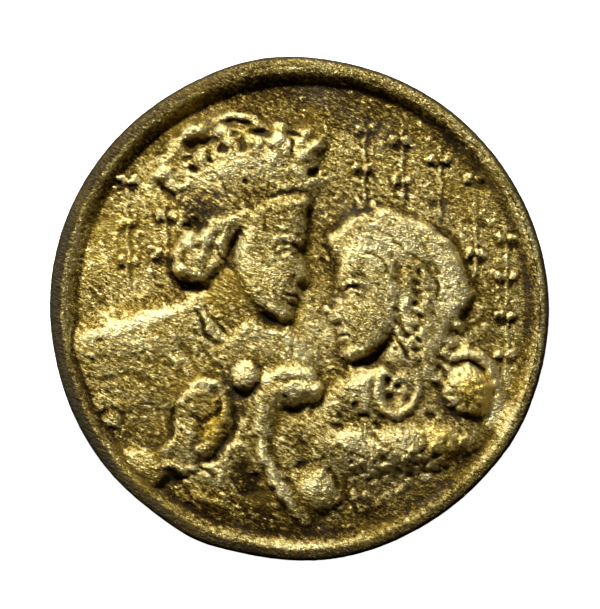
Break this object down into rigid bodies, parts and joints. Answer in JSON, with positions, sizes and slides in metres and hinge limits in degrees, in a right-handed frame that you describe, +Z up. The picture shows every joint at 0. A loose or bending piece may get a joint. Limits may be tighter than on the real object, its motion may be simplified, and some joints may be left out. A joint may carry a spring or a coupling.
{
  "type": "relief coin",
  "caption": "Thick round cast coin with a raised rim, a crowned and a veiled figure in relief on one side and a plain sunk field on the other.",
  "frame": {"origin": "middle of the underside, where the coin rests on its reverse", "axes": "+Z up through the thickness, out of the obverse; +Y towards the top of the relief picture, +X to its right"},
  "size_m": [0.034, 0.0342, 0.0034],
  "materials": {
    "aged_brass": "satin"
  },
  "bodies": {
    "root": {"coin": "aged_brass"}
  },
  "joints": []
}
